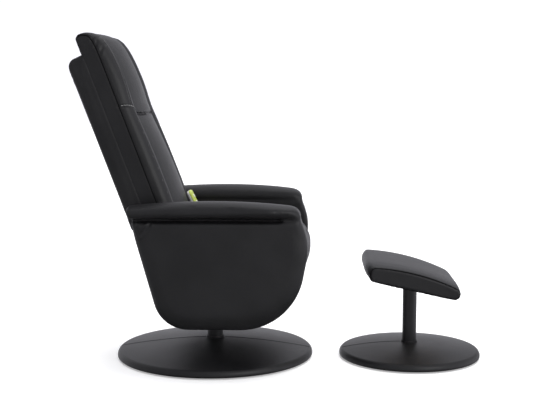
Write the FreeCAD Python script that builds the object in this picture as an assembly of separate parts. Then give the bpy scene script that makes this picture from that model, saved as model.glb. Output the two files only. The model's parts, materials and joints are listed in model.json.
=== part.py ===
import FreeCAD, Part
import math
import os

# Swivel recliner with a massage function, and the footstool of its set.
# Millimetres. X points to the front of the chair, Y to the sitter's left, Z up.
# The origin is on the swivel axis, on the floor under the chair's base.

os.makedirs("parts", exist_ok=True)
V = FreeCAD.Vector
AXIS_Y = V(0, 1, 0)
AXIS_Z = V(0, 0, 1)

# Clearances
RUNNING_FIT = 0.05
SOFT_GAP = 0.3
EDGE_TOLERANCE = 0.01
SWIVEL_GAP = 0.3
FLANGE_FIT = 0.5

# Round bases
BASE_RADIUS = 310.0
BASE_APEX_Z = 57.0
STOOL_BASE_RADIUS = 222.0
STOOL_BASE_APEX_Z = 46.0
STOOL_X = 617.0
FLOOR_PAD_T = 3.0
COVER_T = 3.0
COVER_LAP = 20.0
RIM_TUCK = 10.0
RIM_WIDEST_Z = 13.0
RIM_TOP_Z = 23.5
DOME_RISE = 5.0

# Columns and swivel
COLUMN_RADIUS = 24.5
STOOL_COLUMN_RADIUS = 22.0
COLUMN_WALL = 3.0
FLANGE_RADIUS = 70.0
FLANGE_T = 6.0
FLANGE_DEPTH = 18.0
COLLAR_T = 3.0
COLLAR_HEIGHT = 5.0
SPINDLE_RADIUS = 15.0
SPINDLE_LENGTH = 95.0
BUSH_LENGTH = 20.0
BUSH_LIP = 3.0

# Body of the chair, seen from the side
BODY_BOTTOM_Z = 149.5
BODY_TOP_Z = 470.0
REAR_TOP_X = -219.0
REAR_SLOPE = 15.8
HEEL_RADIUS = 100.0
TOE_X = 97.0
TOE_RADIUS = 183.0
SHIN_SLOPE = 11.0
SHIN_LENGTH = 45.0
BROW_RADIUS = 220.0

# Body of the chair, seen from the front
INSIDE_HALF_WIDTH = 215.0
SIDE_PANEL_T = 85.0
SIDE_PANEL_ROUND = 16.0
WRAP_RECESS = 8.0
WRAP_T = 10.0
REAR_WRAP_TOP_Z = 392.0

# Armrests
ARM_OVERHANG = 24.0
ARM_CREST = 51.0
ARM_REAR_X = -234.0
ARM_NOSE_X = 273.0
ARM_SHOULDER = 15.0
ARM_FOOT_TUCK = 22.5
ARM_INNER_TUCK = 5.0
ARM_SHOULDER_SHARE = 0.84
ARM_WAIST_SHARE = 0.44
ARM_NOSE_LENGTH = 42.0
ARM_NOSE_SWEEP = 80.0
ARM_NOSE_FULLNESS = 0.7
ARM_NOSE_DRAW = 8.0
ARM_MERGE_LENGTH = 100.0
ARM_MERGE_EASE = 2
ARM_REAR_FALL = 16.0
ARM_REAR_EASE = 3
ARM_REAR_DRAW = 4.0
ARM_REAR_DRAW_EASE = 6
ARM_FRONT_FALL = 13.0
ARM_FRONT_EASE = 4
ARM_STATIONS = 12
ARM_NOSE_STATIONS = 6

# Seat structure
SEAT_PLATE_T = 5.0
SEAT_PLATE_LENGTH = 100.0
SEAT_PLATE_WIDTH = 200.0
CROSS_BOARD_T = 15.0
CROSS_BOARD_REAR_X = -30.0
SEAT_FRAME_REAR_X = -138.0
SEAT_FRAME_GAP = 3.7
SEAT_RAIL_T = 24.0
SEAT_RAIL_HEIGHT = 48.0
SEAT_DECK_T = 12.0
SEAT_DECK_TOP_Z = 330.0
INLET_X = -41.5
INLET_FROM_SIDE = 65.0
INLET_RADIUS = 8.0
INLET_LENGTH = 26.0
INLET_BORE_RADIUS = 3.0
INLET_DEPTH = 14.0

# Seat cushion
SEAT_REAR_X = -128.0
SEAT_FRONT_X = 301.0
SEAT_LIP_STEP = 8.0
SEAT_LIP_Z = 304.0
SEAT_REAR_TOP_Z = 404.0
SEAT_FRONT_TOP_Z = 409.0
SEAT_CROWN_Z = 421.0
SEAT_FRONT_DRAW = 14.0
SEAT_EDGE_ROLL = 75.0
SEAT_EDGE_FALL = 10.0
ROLL_STEPS = 4

# Massage motors and control box
MOTOR_RADIUS = 34.0
MOTOR_HEIGHT = 24.0
SEAT_MOTOR_X = 120.0
SEAT_MOTOR_Y = 92.0
CONTROL_BOX_LENGTH = 110.0
CONTROL_BOX_WIDTH = 80.0
CONTROL_BOX_HEIGHT = 28.0

# Backrest, in its own frame: origin on the recline pivot, x forward, z up along the back
PIVOT_X = -172.3
PIVOT_Z = 414.3
BACK_LEAN = 20.65
BACK_SIDE_GAP = 10.0
SHELL_REAR = -45.0
SHELL_RIM = -1.0
SHELL_WALL = 5.0
SHELL_FOOT = 18.0
SHELL_HEAD = 565.0
SHELL_CORNER = 38.0
SHELL_ROUND = 14.0
BACK_BOARD_T = 12.0
BACK_TUBE_RADIUS = 10.0
BACK_TUBE_HEAD = 500.0
BACK_TUBE_BEND = 60.0
BACK_MOTOR_Y = 90.0
BACK_MOTOR_HEIGHTS = (110.0, 300.0)

# Back cushion and head cushion
BOXING_DEPTH = 51.0
BOLSTER_CREST = 87.0
BOLSTER_SWELL = 6.0
BOLSTER_ROLL = 30.0
BOLSTER_FALL = 2.5
VALLEY_FROM_SIDE = 62.0
VALLEY_DEPTH = 9.0
CENTRE_CREST = 93.0
CENTRE_SWELL = 14.0
CENTRE_STEPS = 3
CENTRE_FLAT_SHARE = 0.15
PIPED_EDGE_SWELL = 0.6
TOE_SWELL_SHARE = 0.55
CUSHION_DRAW = 4.0
BACK_CUSHION_HEEL = 26.0
BACK_CUSHION_TOE = -28.0
HEAD_SEAM_Z = 349.0
HEAD_SEAM_RISE = 35.0
HEAD_SEAM_POWER = 4
HEAD_CUSHION_TOP = 629.0
HEAD_BOLSTER_CREST = 92.0
HEAD_CENTRE_CREST = 102.0
HEAD_HEM = 614.0
HEAD_BROW = 600.0
HEAD_BROW_SHARE = 0.82
HEAD_CROWN_SHARE = 0.40
HEAD_SWELL_SHARE = 0.45
HEAD_CHIN_SHARE = 0.18

# Recline hinge
PIN_RADIUS = 6.0
PIN_HEAD_RADIUS = 10.0
PIN_HEAD_T = 4.0
HINGE_PLATE_T = 5.0
HINGE_PLATE_INSET = 5.0
HINGE_LUG_RADIUS = 14.0
HINGE_STRIP_WIDTH = 21.0
HINGE_STRIP_TOP = 150.0
BRACKET_T = 4.0
BRACKET_BOSS_RADIUS = 12.0
BRACKET_REACH = 30.0
BRACKET_DROP = 20.0
BRACKET_CORNER = 10.0

# Recline lever on the sitter's left
LEVER_X = -150.0
LEVER_Z = 362.0
LEVER_SHAFT_RADIUS = 6.0
LEVER_CAM_RADIUS = 11.0
LEVER_CAM_T = 4.0
LEVER_LENGTH = 105.0
LEVER_HUB_RADIUS = 15.0
LEVER_TIP_RADIUS = 10.0
LEVER_T = 13.0
LEVER_RISE = 20.0

# Hand control, in its own frame: x forward out of its face, z up along its length
CONTROL_AHEAD = 128.0
CONTROL_SINK = 5.05
CONTROL_SIDE = 95.0
CONTROL_LEAN = 25.0
CONTROL_LENGTH = 110.0
CONTROL_WIDTH = 54.0
CONTROL_REAR_T = 9.0
CONTROL_FRONT_T = 7.0
CONTROL_WALL = 2.0
CONTROL_ROUND = 6.0
CONTROL_CORNER = 13.5
CIRCUIT_T = 1.6
BUTTON_RADIUS = 6.0
BUTTON_PROUD = 1.6
BUTTON_GAP = 0.3
BUTTON_STEM_RADIUS = 3.0
BUTTON_TRAVEL = 1.2
BUTTON_PITCH = 22.0
BUTTON_NAMES = ("power", "mode", "strength", "heat")

# Footstool top, in its own frame: origin where the column meets the tilted plate
STOOL_TOP_Z = 244.4
STOOL_TILT = 12.3
STOOL_PLATE_HALF = 75.0
STOOL_PLATE_T = 4.0
STOOL_BOARD_LENGTH = 236.0
STOOL_BOARD_WIDTH = 326.0
STOOL_BOARD_T = 12.0
STOOL_HALF_WIDTH = 177.0
STOOL_CROWN = 57.0
STOOL_EDGE_ROLL = 100.0
STOOL_EDGE_FALL = 11.0
STOOL_EDGE_DRAW = 14.0
STOOL_HEEL_X = -148.0
STOOL_HEEL_FALL = 9.0
STOOL_HEEL_BULGE = 10.0
STOOL_HEEL_WAIST_Z = 25.0
STOOL_TOE_X = 124.0
STOOL_TOE_FALL = 18.0
STOOL_NOSE_BULGE = 12.0
STOOL_NOSE_Z = 15.0
STOOL_UNDER_TUCK = 5.0

# The seat frame ends just behind the curved front panel, and the cushion's lip hangs ahead of it
toe_inner_radius = TOE_RADIUS - WRAP_RECESS - WRAP_T
rail_low_z = SEAT_DECK_TOP_Z - SEAT_DECK_T - SEAT_RAIL_HEIGHT
toe_drop = BODY_BOTTOM_Z + TOE_RADIUS - rail_low_z
frame_front_x = TOE_X + math.sqrt(toe_inner_radius ** 2 - toe_drop ** 2) - SEAT_FRAME_GAP
seat_lip_x = frame_front_x + SEAT_LIP_STEP

# The back fits between the side panels, its hinge plates inside its shell, its cushions on the rim
back_half_width = INSIDE_HALF_WIDTH - BACK_SIDE_GAP
hinge_plate_y = back_half_width - SHELL_WALL - HINGE_PLATE_INSET - HINGE_PLATE_T
valley_y = back_half_width - VALLEY_FROM_SIDE
cushion_rear = SHELL_RIM + SOFT_GAP
inlet_y = INLET_FROM_SIDE - INSIDE_HALF_WIDTH


def line(a, b):
    return Part.LineSegment(a, b).toShape()


def arc(a, middle, b):
    return Part.Arc(a, middle, b).toShape()


def save(name, shape):
    shape.exportStep("parts/" + name + ".step")


def other_side(shape):
    return shape.mirror(V(0, 0, 0), AXIS_Y)


def box(x0, x1, y0, y1, z0, z1):
    return Part.makeBox(x1 - x0, y1 - y0, z1 - z0, V(x0, y0, z0))


def upright(radius, z0, z1, x=0.0, y=0.0):
    return Part.makeCylinder(radius, z1 - z0, V(x, y, z0), AXIS_Z)


def crosswise(radius, y0, y1, x=0.0, z=0.0):
    return Part.makeCylinder(radius, y1 - y0, V(x, y0, z), AXIS_Y)


def revolved(edges):
    return Part.Face(Part.Wire(edges)).revolve(V(0, 0, 0), AXIS_Z, 360)


def lofted(wires):
    return Part.makeLoft(wires, True, True)


def both_sides(half):
    return [(-row[0],) + row[1:] for row in half] + [row for row in reversed(half)]


def edge_roll(reach):
    rows = []
    for i in range(ROLL_STEPS + 1):
        angle = math.pi / 2 * i / ROLL_STEPS
        rows.append((reach * (1 - math.cos(angle)), 1 - math.sin(angle)))
    return rows


def arch(x, half, low, high, bend):
    knee = bend * (1 - math.sqrt(0.5))
    return [
        line(V(x, half, low), V(x, half, high - bend)),
        arc(V(x, half, high - bend), V(x, half - knee, high - knee), V(x, half - bend, high)),
        line(V(x, half - bend, high), V(x, -half + bend, high)),
        arc(V(x, -half + bend, high), V(x, -half + knee, high - knee), V(x, -half, high - bend)),
        line(V(x, -half, high - bend), V(x, -half, low)),
    ]


# Round bases: a weighted core, a sewn cover over it and a floor pad under it


def dome_points(radius, column_r, apex_z, inset):
    rim_r = radius - RIM_TUCK
    points = []
    for r in (rim_r, (rim_r + column_r) / 2, column_r):
        share = (rim_r - r) / (rim_r - column_r)
        rise = (apex_z - RIM_TOP_Z) * share + DOME_RISE * 4 * share * (1 - share)
        points.append(V(r, 0, RIM_TOP_Z + rise - inset))
    return points


def base_pieces(radius, column_r, apex_z):
    rim_r = radius - RIM_TUCK
    lap_r = rim_r - COVER_LAP
    low = FLOOR_PAD_T
    under = low + COVER_T
    rim, middle, neck = dome_points(radius, column_r, apex_z, 0.0)
    outer = revolved([
        line(V(0, 0, low), V(rim_r, 0, low)),
        arc(V(rim_r, 0, low), V(radius, 0, RIM_WIDEST_Z), rim),
        arc(rim, middle, neck),
        line(neck, V(0, 0, apex_z)),
        line(V(0, 0, apex_z), V(0, 0, low)),
    ])
    corners = [V(0, 0, low), V(lap_r, 0, low), V(lap_r, 0, under), V(rim_r, 0, under)]
    corners.append(V(radius - COVER_T, 0, RIM_WIDEST_Z))
    corners += dome_points(radius, column_r, apex_z, COVER_T)
    corners += [V(0, 0, apex_z - COVER_T), V(0, 0, low)]
    inner = revolved(Part.makePolygon(corners).Edges)
    bore = upright(column_r, low, apex_z)
    seat = upright(FLANGE_RADIUS + FLANGE_FIT, apex_z - FLANGE_DEPTH, apex_z)
    pad = upright(lap_r, 0, low)
    return pad, inner.cut(seat), outer.cut(inner).cut(bore)


def flanged_tube(radius, apex_z, top_z):
    foot_z = apex_z - FLANGE_DEPTH
    tube = upright(radius, foot_z, top_z)
    tube = tube.fuse(upright(FLANGE_RADIUS, foot_z, foot_z + FLANGE_T))
    return tube.cut(upright(radius - COLUMN_WALL, foot_z, top_z)).removeSplitter()


def collar(radius, apex_z):
    ring = upright(radius + COLLAR_T, apex_z, apex_z + COLLAR_HEIGHT)
    return ring.cut(upright(radius, apex_z, apex_z + COLLAR_HEIGHT))


# Swivel: a spindle under the seat turns in two bushes inside the column

plate_top_z = BODY_BOTTOM_Z + WRAP_RECESS + WRAP_T
plate_z = plate_top_z - SEAT_PLATE_T
column_top_z = plate_z - SWIVEL_GAP - BUSH_LIP
spindle_foot_z = plate_z - SPINDLE_LENGTH


def bush(z0, lip):
    body = upright(COLUMN_RADIUS - COLUMN_WALL, z0, z0 + BUSH_LENGTH + lip)
    if lip:
        body = body.fuse(upright(COLUMN_RADIUS, z0 + BUSH_LENGTH, z0 + BUSH_LENGTH + lip))
    return body.cut(upright(SPINDLE_RADIUS + RUNNING_FIT, z0, z0 + BUSH_LENGTH + lip)).removeSplitter()


def make_base():
    pad, core, cover = base_pieces(BASE_RADIUS, COLUMN_RADIUS, BASE_APEX_Z)
    save("base_floor_pad", pad)
    save("base_core", core)
    save("base_cover", cover)
    save("column_tube", flanged_tube(COLUMN_RADIUS, BASE_APEX_Z, column_top_z))
    save("column_collar", collar(COLUMN_RADIUS, BASE_APEX_Z))
    save("swivel_bush_upper", bush(column_top_z - BUSH_LENGTH, BUSH_LIP))
    save("swivel_bush_lower", bush(spindle_foot_z, 0.0))


# Body: padded side panels with a wrap of three curved panels between them


def heel_tangents():
    slope = math.radians(REAR_SLOPE)
    corner_x = REAR_TOP_X + (BODY_TOP_Z - BODY_BOTTOM_Z) * math.tan(slope)
    reach = HEEL_RADIUS * math.tan(math.pi / 4 - slope / 2)
    start = (corner_x - reach * math.sin(slope), BODY_BOTTOM_Z + reach * math.cos(slope))
    return start, (corner_x + reach, BODY_BOTTOM_Z)


def circle_point(centre, radius, degrees):
    angle = math.radians(degrees)
    return centre[0] + radius * math.cos(angle), centre[1] + radius * math.sin(angle)


def front_curve():
    toe_centre = (TOE_X, BODY_BOTTOM_Z + TOE_RADIUS)
    toe_middle = circle_point(toe_centre, TOE_RADIUS, -45 - SHIN_SLOPE / 2)
    toe_end = circle_point(toe_centre, TOE_RADIUS, -SHIN_SLOPE)
    knee = circle_point(toe_end, SHIN_LENGTH, 90 - SHIN_SLOPE)
    brow_centre = circle_point(knee, BROW_RADIUS, 180 - SHIN_SLOPE)
    brow_angle = math.degrees(math.asin((BODY_TOP_Z - brow_centre[1]) / BROW_RADIUS))
    brow_middle = circle_point(brow_centre, BROW_RADIUS, (brow_angle - SHIN_SLOPE) / 2)
    return toe_middle, toe_end, knee, brow_middle, circle_point(brow_centre, BROW_RADIUS, brow_angle)


def body_outline(y):
    heel_start, heel_end = heel_tangents()
    heel_centre = (heel_end[0], BODY_BOTTOM_Z + HEEL_RADIUS)
    heel_middle = circle_point(heel_centre, HEEL_RADIUS, 225 - REAR_SLOPE / 2)
    toe_middle, toe_end, knee, brow_middle, brow_top = front_curve()

    def at(point):
        return V(point[0], y, point[1])

    rear_top = V(REAR_TOP_X, y, BODY_TOP_Z)
    toe_start = V(TOE_X, y, BODY_BOTTOM_Z)
    return Part.Wire([
        line(rear_top, at(heel_start)),
        arc(at(heel_start), at(heel_middle), at(heel_end)),
        line(at(heel_end), toe_start),
        arc(toe_start, at(toe_middle), at(toe_end)),
        line(at(toe_end), at(knee)),
        arc(at(knee), at(brow_middle), at(brow_top)),
        line(at(brow_top), rear_top),
    ])


def side_panel():
    outer_y = INSIDE_HALF_WIDTH + SIDE_PANEL_T
    panel = Part.Face(body_outline(INSIDE_HALF_WIDTH)).extrude(V(0, SIDE_PANEL_T, 0))
    rim = []
    for edge in panel.Edges:
        bounds = edge.BoundBox
        if bounds.YMin > outer_y - EDGE_TOLERANCE and bounds.ZMin < BODY_TOP_Z - EDGE_TOLERANCE:
            rim.append(edge)
    return panel.makeFillet(SIDE_PANEL_ROUND, rim)


def wrap_ring():
    width = 2 * INSIDE_HALF_WIDTH
    outline = body_outline(-INSIDE_HALF_WIDTH)
    outer = Part.Face(outline.makeOffset2D(-WRAP_RECESS)).extrude(V(0, width, 0))
    inner = Part.Face(outline.makeOffset2D(-WRAP_RECESS - WRAP_T)).extrude(V(0, width, 0))
    return outer.cut(inner)


def wrap_part(ring, x0, x1, top_z):
    half = INSIDE_HALF_WIDTH
    return ring.common(box(x0, x1, -half, half, BODY_BOTTOM_Z, top_z))


def arm_section(x, crest, draw):
    low = BODY_TOP_Z
    inner = INSIDE_HALF_WIDTH + draw
    merge = max(0.0, 1 - (ARM_NOSE_X - x) / ARM_MERGE_LENGTH) ** ARM_MERGE_EASE
    outer = INSIDE_HALF_WIDTH + SIDE_PANEL_T + ARM_OVERHANG * (1 - merge) - draw
    shoulder = crest * ARM_SHOULDER_SHARE
    waist = crest * ARM_WAIST_SHARE
    tuck = ARM_SHOULDER * crest / ARM_CREST
    inner_foot = V(x, inner + ARM_INNER_TUCK * crest / ARM_CREST, low)
    outer_foot = V(x, outer - ARM_FOOT_TUCK * (1 - merge) * crest / ARM_CREST, low)
    outer_top = V(x, outer - tuck, low + shoulder)
    inner_top = V(x, inner + tuck, low + shoulder)
    return Part.Wire([
        line(inner_foot, outer_foot),
        arc(outer_foot, V(x, outer, low + waist), outer_top),
        arc(outer_top, V(x, (inner + outer) / 2, low + crest), inner_top),
        arc(inner_top, V(x, inner, low + waist), inner_foot),
    ])


def armrest():
    straight = ARM_NOSE_X - ARM_REAR_X - ARM_NOSE_LENGTH
    stations = []
    for i in range(ARM_STATIONS):
        ahead = i / (ARM_STATIONS - 1)
        behind = 1 - ahead
        fall = ARM_REAR_FALL * behind ** ARM_REAR_EASE + ARM_FRONT_FALL * ahead ** ARM_FRONT_EASE
        draw = ARM_REAR_DRAW * behind ** ARM_REAR_DRAW_EASE
        stations.append((ARM_REAR_X + ahead * straight, ARM_CREST - fall, draw))
    sweep = math.radians(ARM_NOSE_SWEEP)
    for i in range(1, ARM_NOSE_STATIONS):
        angle = sweep * i / (ARM_NOSE_STATIONS - 1)
        x = ARM_REAR_X + straight + ARM_NOSE_LENGTH * math.sin(angle) / math.sin(sweep)
        crest = (ARM_CREST - ARM_FRONT_FALL) * math.cos(angle) ** ARM_NOSE_FULLNESS
        stations.append((x, crest, ARM_NOSE_DRAW * (1 - math.cos(angle))))
    return lofted([arm_section(*station) for station in stations])


def seat_section(y, crown, draw):
    deck = SEAT_DECK_TOP_Z
    front = SEAT_FRONT_X - draw
    brow = V(front - SEAT_FRONT_DRAW, y, SEAT_FRONT_TOP_Z)
    chin = V(front - SEAT_FRONT_DRAW, y, SEAT_LIP_Z)
    middle_x = (SEAT_REAR_X + front) / 2
    corners = [
        V(SEAT_REAR_X, y, SEAT_REAR_TOP_Z),
        V(SEAT_REAR_X, y, deck),
        V(seat_lip_x, y, deck),
        V(seat_lip_x, y, SEAT_LIP_Z),
        chin,
    ]
    edges = [line(a, b) for a, b in zip(corners, corners[1:])]
    edges.append(arc(chin, V(front, y, (SEAT_FRONT_TOP_Z + SEAT_LIP_Z) / 2), brow))
    edges.append(arc(brow, V(middle_x, y, crown), corners[0]))
    return Part.Wire(edges)


def seat_cushion():
    edge = INSIDE_HALF_WIDTH - SOFT_GAP
    half = []
    for inward, left in edge_roll(SEAT_EDGE_ROLL):
        fall = SEAT_EDGE_FALL * left
        half.append((edge - inward, SEAT_CROWN_Z - fall, fall))
    return lofted([seat_section(*row) for row in both_sides(half)])


def seat_frame(deck_low):
    half = INSIDE_HALF_WIDTH
    ring = box(SEAT_FRAME_REAR_X, frame_front_x, -half, half, rail_low_z, deck_low)
    inside = half - SEAT_RAIL_T
    x0 = SEAT_FRAME_REAR_X + SEAT_RAIL_T
    x1 = frame_front_x - SEAT_RAIL_T
    return ring.cut(box(x0, x1, -inside, inside, rail_low_z, deck_low))


def hinge_bracket():
    panel_y = INSIDE_HALF_WIDTH
    plate_y = panel_y - BRACKET_T
    boss_y = hinge_plate_y + HINGE_PLATE_T + SOFT_GAP
    reach = BRACKET_REACH
    low = PIVOT_Z - BRACKET_DROP
    plate = box(PIVOT_X - reach, PIVOT_X + reach, plate_y, panel_y, low, low + 2 * reach)
    corners = [edge for edge in plate.Edges if edge.BoundBox.YLength > BRACKET_T - EDGE_TOLERANCE]
    plate = plate.makeFillet(BRACKET_CORNER, corners)
    boss = crosswise(BRACKET_BOSS_RADIUS, boss_y, plate_y, PIVOT_X, PIVOT_Z)
    return plate.fuse(boss).cut(crosswise(PIN_RADIUS, boss_y, panel_y, PIVOT_X, PIVOT_Z)).removeSplitter()


def hinge_pin():
    head_y = hinge_plate_y - SOFT_GAP
    pin = crosswise(PIN_RADIUS, head_y, INSIDE_HALF_WIDTH, PIVOT_X, PIVOT_Z)
    head = crosswise(PIN_HEAD_RADIUS, head_y - PIN_HEAD_T, head_y, PIVOT_X, PIVOT_Z)
    return pin.fuse(head).removeSplitter()


def power_inlet():
    low = plate_top_z - WRAP_T
    body = upright(INLET_RADIUS, low, low + INLET_LENGTH, INLET_X, inlet_y)
    return body.cut(upright(INLET_BORE_RADIUS, low, low + INLET_DEPTH, INLET_X, inlet_y))


def make_seat():
    half = INSIDE_HALF_WIDTH
    flat_rear_x = heel_tangents()[1][0]
    deck_low = SEAT_DECK_TOP_Z - SEAT_DECK_T
    plate_half = SEAT_PLATE_WIDTH / 2
    plate_x0 = -SEAT_PLATE_LENGTH / 2
    plate = box(plate_x0, plate_x0 + SEAT_PLATE_LENGTH, -plate_half, plate_half, plate_z, plate_top_z)
    save("seat_plate", plate)
    save("swivel_spindle", upright(SPINDLE_RADIUS, spindle_foot_z, plate_z))
    board_top = plate_top_z + CROSS_BOARD_T
    save("cross_board", box(CROSS_BOARD_REAR_X, TOE_X, -half, half, plate_top_z, board_top))

    ring = wrap_ring()
    underside = wrap_part(ring, flat_rear_x, TOE_X, BODY_TOP_Z / 2)
    window = box(plate_x0, plate_x0 + SEAT_PLATE_LENGTH, -plate_half, plate_half, BODY_BOTTOM_Z, plate_top_z)
    socket = upright(INLET_RADIUS, BODY_BOTTOM_Z, plate_top_z, INLET_X, inlet_y)
    save("underside_panel", underside.cut(window).cut(socket))
    save("front_panel", wrap_part(ring, TOE_X, TOE_X + 2 * TOE_RADIUS, SEAT_LIP_Z - SOFT_GAP))
    save("rear_panel", wrap_part(ring, REAR_TOP_X, flat_rear_x, REAR_WRAP_TOP_Z))
    save("power_inlet", power_inlet())

    panel = side_panel()
    shaft_bore = crosswise(LEVER_SHAFT_RADIUS + RUNNING_FIT, half, half + SIDE_PANEL_T, LEVER_X, LEVER_Z)
    save("left_side_panel", panel.cut(shaft_bore))
    save("right_side_panel", other_side(panel))
    arm = armrest()
    save("left_armrest", arm)
    save("right_armrest", other_side(arm))

    save("seat_frame", seat_frame(deck_low))
    deck = box(SEAT_FRAME_REAR_X, frame_front_x, -half, half, deck_low, SEAT_DECK_TOP_Z)
    save("seat_deck", deck)
    save("seat_cushion", seat_cushion())

    motor = upright(MOTOR_RADIUS, deck_low - MOTOR_HEIGHT, deck_low, SEAT_MOTOR_X, SEAT_MOTOR_Y)
    save("left_seat_motor", motor)
    save("right_seat_motor", other_side(motor))
    box_half = CONTROL_BOX_WIDTH / 2
    box_x1 = CONTROL_BOX_LENGTH / 2
    control_box = box(-box_x1, box_x1, -box_half, box_half, deck_low - CONTROL_BOX_HEIGHT, deck_low)
    save("massage_control_box", control_box)

    save("left_hinge_bracket", hinge_bracket())
    save("right_hinge_bracket", other_side(hinge_bracket()))
    save("left_hinge_pin", hinge_pin())
    save("right_hinge_pin", other_side(hinge_pin()))


# Backrest, modelled upright about its pivot and then leaned into place


def leaned(shape):
    placed = shape.copy()
    placed.rotate(V(0, 0, 0), AXIS_Y, -BACK_LEAN)
    placed.translate(V(PIVOT_X, 0, PIVOT_Z))
    return placed


def back_outline(x, inset):
    half = back_half_width - inset
    low = SHELL_FOOT + inset
    foot = line(V(x, -half, low), V(x, half, low))
    return Part.Wire([foot] + arch(x, half, low, SHELL_HEAD - inset, SHELL_CORNER - inset))


def back_shell():
    depth = SHELL_RIM - SHELL_REAR
    tub = Part.Face(back_outline(SHELL_REAR, 0.0)).extrude(V(depth, 0, 0))
    rear_edges = [edge for edge in tub.Edges if edge.BoundBox.XMax < SHELL_REAR + EDGE_TOLERANCE]
    tub = tub.makeFillet(SHELL_ROUND, rear_edges)
    floor_x = SHELL_REAR + SHELL_WALL
    hollow = Part.Face(back_outline(floor_x, SHELL_WALL)).extrude(V(depth, 0, 0))
    hollow_edges = [edge for edge in hollow.Edges if edge.BoundBox.XMax < floor_x + EDGE_TOLERANCE]
    tub = tub.cut(hollow.makeFillet(SHELL_ROUND - SHELL_WALL, hollow_edges))
    strip_x1 = SHELL_RIM - BACK_BOARD_T
    y0 = hinge_plate_y - SOFT_GAP
    y1 = hinge_plate_y + HINGE_PLATE_T + SOFT_GAP
    x0 = strip_x1 - HINGE_STRIP_WIDTH - SOFT_GAP
    slot = box(x0, SHELL_RIM, y0, y1, SHELL_FOOT, SHELL_FOOT + SHELL_ROUND)
    return tub.cut(slot).cut(other_side(slot))


def back_board():
    board = Part.Face(back_outline(SHELL_RIM - BACK_BOARD_T, SHELL_WALL))
    return board.extrude(V(BACK_BOARD_T, 0, 0))


def back_tube():
    x = SHELL_RIM - BACK_BOARD_T - BACK_TUBE_RADIUS
    half = hinge_plate_y - BACK_TUBE_RADIUS
    low = SHELL_FOOT + SHELL_ROUND
    path = Part.Wire(arch(x, half, low, BACK_TUBE_HEAD, BACK_TUBE_BEND))
    ring = Part.Wire([Part.makeCircle(BACK_TUBE_RADIUS, V(x, half, low), AXIS_Z)])
    return path.makePipeShell([ring], True, False)


def hinge_plate():
    strip_x1 = SHELL_RIM - BACK_BOARD_T
    strip_x0 = strip_x1 - HINGE_STRIP_WIDTH
    lug = HINGE_LUG_RADIUS
    y = hinge_plate_y
    corners = [
        V(strip_x0, y, HINGE_STRIP_TOP),
        V(strip_x1, y, HINGE_STRIP_TOP),
        V(strip_x1, y, lug),
        V(0, y, lug),
        V(0, y, -lug),
        V(strip_x1, y, -lug),
        V(strip_x0, y, SHELL_FOOT),
        V(strip_x0, y, HINGE_STRIP_TOP),
    ]
    plate = Part.Face(Part.makePolygon(corners)).extrude(V(0, HINGE_PLATE_T, 0))
    plate = plate.fuse(crosswise(lug, y, y + HINGE_PLATE_T))
    return plate.cut(crosswise(PIN_RADIUS + RUNNING_FIT, y, y + HINGE_PLATE_T)).removeSplitter()


def head_seam_z(y):
    return HEAD_SEAM_Z + HEAD_SEAM_RISE * (y / back_half_width) ** HEAD_SEAM_POWER


def back_section(y, front, swell, draw):
    head = head_seam_z(y)
    toe = BACK_CUSHION_TOE + draw
    rear = V(cushion_rear, y, head)
    heel = V(cushion_rear, y, BACK_CUSHION_HEEL)
    low = V(front + swell * TOE_SWELL_SHARE, y, toe)
    waist = V(front + swell, y, (head + toe) / 2)
    high = V(front, y, head)
    return Part.Wire([line(rear, heel), line(heel, low), arc(low, waist, high), line(high, rear)])


def head_section(y, front, draw):
    low = head_seam_z(y) + SOFT_GAP
    hem = V(cushion_rear, y, HEAD_HEM)
    foot = V(cushion_rear, y, low)
    chin = V(front - (front - BOXING_DEPTH) * HEAD_CHIN_SHARE, y, low)
    swell = V(front, y, low + HEAD_SWELL_SHARE * (HEAD_BROW - low))
    brow = V(front * HEAD_BROW_SHARE, y, HEAD_BROW)
    crown = V(front * HEAD_CROWN_SHARE, y, HEAD_CUSHION_TOP - draw)
    return Part.Wire([line(hem, foot), line(foot, chin), arc(chin, swell, brow), arc(brow, crown, hem)])


# From the piped edge over the bolster, down into its valley and up to the full middle
def cushion_rows(crest, centre):
    rows = []
    for inward, left in edge_roll(BOLSTER_ROLL):
        rows.append((back_half_width - inward, crest - (crest - BOXING_DEPTH) * left, CUSHION_DRAW * left))
    crest_y = back_half_width - BOLSTER_ROLL
    rows.append(((crest_y + valley_y) / 2, crest - BOLSTER_FALL, 0.0))
    rise = centre - crest + VALLEY_DEPTH
    for i in range(CENTRE_STEPS + 1):
        share = 1 - (1 - CENTRE_FLAT_SHARE) * i / CENTRE_STEPS
        rows.append((valley_y * share, centre - rise * share**2, 0.0))
    return rows


def back_cushion():
    heads = cushion_rows(BOLSTER_CREST, CENTRE_CREST)
    waists = cushion_rows(BOLSTER_CREST + BOLSTER_SWELL, CENTRE_CREST + CENTRE_SWELL)
    half = []
    for (y, front, draw), (y, waist, draw) in zip(heads, waists):
        half.append((y, front, waist - front + PIPED_EDGE_SWELL, draw))
    return lofted([back_section(*row) for row in both_sides(half)])


def head_cushion():
    half = cushion_rows(HEAD_BOLSTER_CREST, HEAD_CENTRE_CREST)
    return lofted([head_section(*row) for row in both_sides(half)])


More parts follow.
